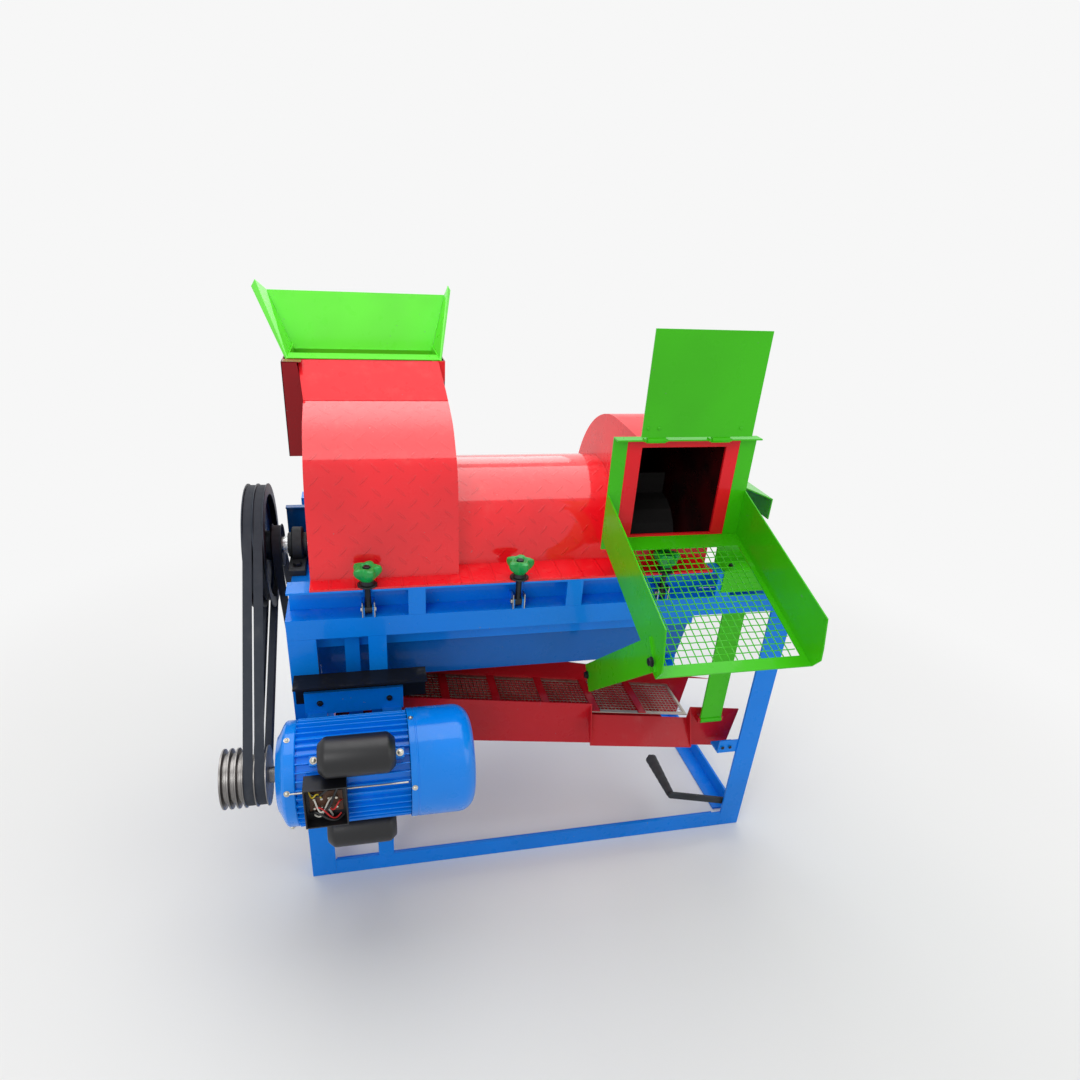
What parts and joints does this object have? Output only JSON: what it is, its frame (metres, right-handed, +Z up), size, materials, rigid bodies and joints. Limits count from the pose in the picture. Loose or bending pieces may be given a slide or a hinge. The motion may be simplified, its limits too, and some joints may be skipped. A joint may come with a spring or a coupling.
{
  "type": "millet thresher",
  "caption": "Motor-driven millet thresher: feed hopper, spiked drum under a hinged cover, straw chute with wire floor, shaking grain tray, belt drive and angle-iron frame.",
  "frame": {"origin": "middle of the bounding box on the ground the legs stand on", "axes": "+Z up, +X from the pulley end towards the discharge end, -Y towards the side with the motor and chute"},
  "size_m": [1.1226, 0.8422, 1.1552],
  "materials": {
    "blue_paint": "gloss enamel",
    "red_paint": "gloss enamel",
    "dark_red_paint": "gloss enamel",
    "green_paint": "gloss enamel",
    "light_green_paint": "gloss enamel",
    "motor_blue_paint": "gloss enamel",
    "dark_iron": "worn cast surface",
    "bright_steel": "turned",
    "zinc_steel": "zinc plated",
    "black_rubber": "matt",
    "black_plastic": "matt",
    "green_plastic": "moulded",
    "black_paint": "satin"
  },
  "bodies": {
    "frame": {"leg_front_left": "blue_paint", "leg_front_right": "blue_paint", "leg_back_left": "blue_paint", "leg_back_right": "blue_paint", "top_rail_front": "blue_paint", "top_rail_back": "blue_paint", "top_rail_left": "blue_paint", "top_rail_right": "blue_paint", "bottom_rail_front": "blue_paint", "bottom_rail_back": "blue_paint", "bottom_rail_right": "blue_paint", "cross_rail_left": "blue_paint", "motor_post": "blue_paint", "concave_side_front": "blue_paint", "concave_side_back": "blue_paint", "concave_end_left": "blue_paint", "grain_funnel": "blue_paint", "concave_grate": "dark_iron", "bearing_left": "dark_iron", "bearing_right": "dark_iron", "shaker_bearing": "dark_iron", "drive_belt_outer": "black_rubber", "drive_belt_inner": "black_rubber", "shaker_belt": "black_rubber", "motor_body": "motor_blue_paint", "motor_fan_cover": "motor_blue_paint", "capacitor_upper": "black_plastic", "capacitor_lower": "black_plastic", "motor_rail_upper": "black_paint", "motor_rail_lower": "black_paint"},
    "cover": {"cover_feed_housing": "red_paint", "cover_middle_shell": "red_paint", "cover_discharge_housing": "red_paint", "feed_throat": "red_paint", "hopper": "light_green_paint", "shaft_guard": "green_paint", "outlet_frame": "green_paint", "outlet_chute": "green_paint", "chute_mesh": "green_paint"},
    "flap": {"outlet_flap": "green_paint"},
    "drum": {"drum_shaft": "bright_steel", "threshing_drum": "dark_iron", "drum_pulley": "dark_iron"},
    "motor_rotor": {"motor_pulley": "bright_steel"},
    "shaker": {"shaker_shaft": "dark_iron"},
    "sieve": {"sieve_tray": "dark_red_paint", "sieve_screen": "bright_steel", "connecting_rod": "dark_iron"},
    "hanger_front_left": {"hanger_front_left": "blue_paint"},
    "hanger_front_right": {"hanger_front_right": "green_paint"},
    "hanger_back_left": {"hanger_back_left": "blue_paint"},
    "hanger_back_right": {"hanger_back_right": "blue_paint"},
    "lever": {"adjusting_lever": "dark_iron"},
    "grip": {"lever_grip": "black_plastic"},
    "bolt_1": {"swing_bolt_1": "zinc_steel"},
    "knob_1": {"latch_knob_1": "green_plastic"},
    "bolt_2": {"swing_bolt_2": "zinc_steel"},
    "knob_2": {"latch_knob_2": "green_plastic"},
    "bolt_3": {"swing_bolt_3": "zinc_steel"},
    "knob_3": {"latch_knob_3": "green_plastic"}
  },
  "joints": [
    {"name": "cover_hinge", "type": "hinge", "parent": "frame", "child": "cover", "pos_m": [-0.0097, 0.37601, 0.7033], "axis": [-1, 0, 0], "range_deg": [0, 70]},
    {"name": "flap_hinge", "type": "hinge", "parent": "cover", "child": "flap", "pos_m": [0.2823, -0.12449, 0.9638], "axis": [1, 0, 0], "range_deg": [-8, 178]},
    {"name": "drum_spin", "type": "hinge", "parent": "frame", "child": "drum", "pos_m": [-0.0097, 0.11751, 0.68], "axis": [1, 0, 0], "continuous": true},
    {"name": "motor_spin", "type": "hinge", "parent": "frame", "child": "motor_rotor", "pos_m": [-0.4447, -0.24049, 0.397], "axis": [1, 0, 0], "continuous": true},
    {"name": "shaker_spin", "type": "hinge", "parent": "frame", "child": "shaker", "pos_m": [-0.3847, 0.29251, 0.275], "axis": [1, 0, 0], "continuous": true},
    {"name": "sieve_slide", "type": "slide", "parent": "frame", "child": "sieve", "axis": [0, 1, 0], "range_m": [-0.006, 0.006]},
    {"name": "hanger_front_left_swing", "type": "hinge", "parent": "frame", "child": "hanger_front_left", "pos_m": [-0.3332, -0.10049, 0.59], "axis": [1, 0, 0], "range_deg": [-2, 2]},
    {"name": "hanger_front_right_swing", "type": "hinge", "parent": "frame", "child": "hanger_front_right", "pos_m": [0.4463, -0.10049, 0.62], "axis": [1, 0, 0], "range_deg": [-1.6, 1.6]},
    {"name": "hanger_back_left_swing", "type": "hinge", "parent": "frame", "child": "hanger_back_left", "pos_m": [-0.3332, 0.05851, 0.424], "axis": [1, 0, 0], "range_deg": [-5.4, 5.4]},
    {"name": "hanger_back_right_swing", "type": "hinge", "parent": "frame", "child": "hanger_back_right", "pos_m": [0.2553, 0.05851, 0.424], "axis": [1, 0, 0], "range_deg": [-2.8, 2.8]},
    {"name": "bolt_swing_1", "type": "hinge", "parent": "frame", "child": "bolt_1", "pos_m": [-0.2997, -0.12449, 0.657], "axis": [1, 0, 0], "range_deg": [0, 85]},
    {"name": "knob_turn_1", "type": "hinge", "parent": "bolt_1", "child": "knob_1", "pos_m": [-0.2997, -0.12449, 0.73], "axis": [0, 0, 1], "continuous": true},
    {"name": "bolt_swing_2", "type": "hinge", "parent": "frame", "child": "bolt_2", "pos_m": [-0.0247, -0.12449, 0.657], "axis": [1, 0, 0], "range_deg": [0, 85]},
    {"name": "knob_turn_2", "type": "hinge", "parent": "bolt_2", "child": "knob_2", "pos_m": [-0.0247, -0.12449, 0.73], "axis": [0, 0, 1], "continuous": true},
    {"name": "bolt_swing_3", "type": "hinge", "parent": "frame", "child": "bolt_3", "pos_m": [0.2623, -0.12449, 0.657], "axis": [1, 0, 0], "range_deg": [0, 85]},
    {"name": "knob_turn_3", "type": "hinge", "parent": "bolt_3", "child": "knob_3", "pos_m": [0.2623, -0.12449, 0.73], "axis": [0, 0, 1], "continuous": true},
    {"name": "lever_turn", "type": "hinge", "parent": "frame", "child": "lever", "pos_m": [0.5353, -0.12449, 0.064], "axis": [0, 1, 0], "range_deg": [-10, 35]},
    {"name": "grip_spin", "type": "hinge", "parent": "lever", "child": "grip", "pos_m": [0.3753, -0.05249, 0.107], "axis": [0, 1, 0], "continuous": true}
  ],
  "couplings": [
    {"joint": "motor_spin", "follows": "drum_spin", "ratio": 2.9211},
    {"joint": "shaker_spin", "follows": "drum_spin", "ratio": 0.43939},
    {"joint": "hanger_front_left_swing", "follows": "sieve_slide", "rad_per_m": 4.2735},
    {"joint": "hanger_front_right_swing", "follows": "sieve_slide", "rad_per_m": 3.1991},
    {"joint": "hanger_back_left_swing", "follows": "sieve_slide", "rad_per_m": 13.689},
    {"joint": "hanger_back_right_swing", "follows": "sieve_slide", "rad_per_m": 6.3377}
  ]
}
